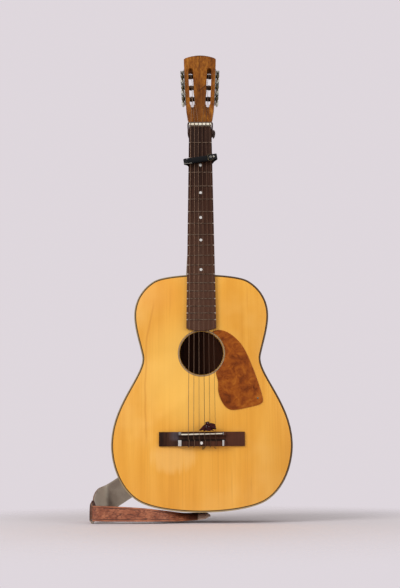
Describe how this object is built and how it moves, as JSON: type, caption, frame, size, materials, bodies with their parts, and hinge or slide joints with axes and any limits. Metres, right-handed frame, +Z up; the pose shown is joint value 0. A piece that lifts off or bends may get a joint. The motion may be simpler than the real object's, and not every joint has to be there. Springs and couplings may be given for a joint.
{
  "type": "acoustic guitar",
  "caption": "Slot-head folk guitar with round sound hole, tie bridge, geared tuning machines, elastic capo and leather strap.",
  "frame": {"origin": "centre of the end pin's outer face, under the foot of the body at the middle of its depth", "axes": "+Z up the neck, -Y out of the soundboard, +X to the treble side"},
  "size_m": [0.4009, 0.1339, 1.016],
  "materials": {
    "spruce_top": "glossy amber varnish",
    "mahogany_body": "glossy varnish",
    "cedar_neck": "satin varnish",
    "rosewood_parts": "oiled",
    "inner_wood": "raw",
    "dark_veneer": "varnished",
    "ivory_plastic": "polished",
    "tortoise_plastic": "polished, mottled",
    "pearl_inlay": "polished, pearly",
    "fret_wire": "polished",
    "machine_steel": "aged plating",
    "brass_gears": "aged",
    "cream_buttons": "polished",
    "nylon_strings": "smooth",
    "wound_strings": "wound wire",
    "black_plastic": "polished",
    "capo_steel": "polished",
    "black_rubber": "dull",
    "black_webbing": "woven elastic",
    "tooled_leather": "tooled front, suede back",
    "dark_leather": "worn",
    "red_ribbon": "satin"
  },
  "bodies": {
    "guitar": {"back_binding": "ivory_plastic", "back_lining_bass": "inner_wood", "back_lining_treble": "inner_wood", "back_plate": "mahogany_body", "bridge": "rosewood_parts", "bridge_inlay_bass": "pearl_inlay", "bridge_inlay_treble": "pearl_inlay", "bridge_plate": "inner_wood", "capo_band": "black_webbing", "capo_bar": "capo_steel", "capo_sleeve": "black_rubber", "end_pin": "black_plastic", "fretboard": "rosewood_parts", "heel_cap": "rosewood_parts", "hole_top_brace": "inner_wood", "lace_knot": "dark_leather", "lower_back_brace": "inner_wood", "lower_top_brace": "inner_wood", "middle_back_brace": "inner_wood", "neck": "cedar_neck", "neck_block": "inner_wood", "nut": "ivory_plastic", "pickguard": "tortoise_plastic", "ribbon": "red_ribbon", "rosette": "ivory_plastic", "saddle": "ivory_plastic", "side_rims": "mahogany_body", "soundboard": "spruce_top", "strap": "tooled_leather", "strap_keeper": "dark_leather", "strap_lace": "dark_leather", "strap_tail": "tooled_leather", "string_1": "nylon_strings", "string_2": "nylon_strings", "string_3": "nylon_strings", "string_4": "wound_strings", "string_5": "wound_strings", "string_6": "wound_strings", "tail_block": "inner_wood", "top_binding": "ivory_plastic", "top_lining_bass": "inner_wood", "top_lining_treble": "inner_wood", "top_purfling": "dark_veneer", "tuner_plate_bass": "machine_steel", "tuner_plate_treble": "machine_steel", "upper_back_brace": "inner_wood", "upper_top_brace": "inner_wood", "zero_fret": "fret_wire"},
    "worm_1_body": {"worm_1": "cream_buttons"},
    "roller_1_body": {"roller_1": "brass_gears"},
    "worm_2_body": {"worm_2": "cream_buttons"},
    "roller_2_body": {"roller_2": "brass_gears"},
    "worm_3_body": {"worm_3": "cream_buttons"},
    "roller_3_body": {"roller_3": "brass_gears"},
    "worm_4_body": {"worm_4": "cream_buttons"},
    "roller_4_body": {"roller_4": "brass_gears"},
    "worm_5_body": {"worm_5": "cream_buttons"},
    "roller_5_body": {"roller_5": "brass_gears"},
    "worm_6_body": {"worm_6": "cream_buttons"},
    "roller_6_body": {"roller_6": "brass_gears"}
  },
  "joints": [
    {"name": "worm_1_turn", "type": "hinge", "parent": "guitar", "child": "worm_1_body", "pos_m": [0.03745, -0.02044, 0.89869], "axis": [0, 0.9703, -0.2419], "continuous": true},
    {"name": "roller_1_turn", "type": "hinge", "parent": "guitar", "child": "roller_1_body", "pos_m": [0.03157, -0.02253, 0.89029], "axis": [0.9991, -0.0103, -0.0415], "continuous": true},
    {"name": "worm_2_turn", "type": "hinge", "parent": "guitar", "child": "worm_2_body", "pos_m": [0.0388, -0.0128, 0.92932], "axis": [0, 0.9703, -0.2419], "continuous": true},
    {"name": "roller_2_turn", "type": "hinge", "parent": "guitar", "child": "roller_2_body", "pos_m": [0.03293, -0.0149, 0.92092], "axis": [0.9991, -0.0103, -0.0415], "continuous": true},
    {"name": "worm_3_turn", "type": "hinge", "parent": "guitar", "child": "worm_3_body", "pos_m": [0.04015, -0.00516, 0.95996], "axis": [0, 0.9703, -0.2419], "continuous": true},
    {"name": "roller_3_turn", "type": "hinge", "parent": "guitar", "child": "roller_3_body", "pos_m": [0.03428, -0.00726, 0.95156], "axis": [0.9991, -0.0103, -0.0415], "continuous": true},
    {"name": "worm_4_turn", "type": "hinge", "parent": "guitar", "child": "worm_4_body", "pos_m": [-0.04015, -0.00516, 0.95996], "axis": [0, 0.9703, -0.2419], "continuous": true},
    {"name": "roller_4_turn", "type": "hinge", "parent": "guitar", "child": "roller_4_body", "pos_m": [-0.03428, -0.00726, 0.95156], "axis": [0.9991, 0.0103, 0.0415], "continuous": true},
    {"name": "worm_5_turn", "type": "hinge", "parent": "guitar", "child": "worm_5_body", "pos_m": [-0.0388, -0.0128, 0.92932], "axis": [0, 0.9703, -0.2419], "continuous": true},
    {"name": "roller_5_turn", "type": "hinge", "parent": "guitar", "child": "roller_5_body", "pos_m": [-0.03293, -0.0149, 0.92092], "axis": [0.9991, 0.0103, 0.0415], "continuous": true},
    {"name": "worm_6_turn", "type": "hinge", "parent": "guitar", "child": "worm_6_body", "pos_m": [-0.03745, -0.02044, 0.89869], "axis": [0, 0.9703, -0.2419], "continuous": true},
    {"name": "roller_6_turn", "type": "hinge", "parent": "guitar", "child": "roller_6_body", "pos_m": [-0.03157, -0.02253, 0.89029], "axis": [0.9991, 0.0103, 0.0415], "continuous": true}
  ],
  "couplings": [
    {"joint": "roller_1_turn", "follows": "worm_1_turn", "ratio": 0.083333},
    {"joint": "roller_2_turn", "follows": "worm_2_turn", "ratio": 0.083333},
    {"joint": "roller_3_turn", "follows": "worm_3_turn", "ratio": 0.083333},
    {"joint": "roller_4_turn", "follows": "worm_4_turn", "ratio": 0.083333},
    {"joint": "roller_5_turn", "follows": "worm_5_turn", "ratio": 0.083333},
    {"joint": "roller_6_turn", "follows": "worm_6_turn", "ratio": 0.083333}
  ]
}
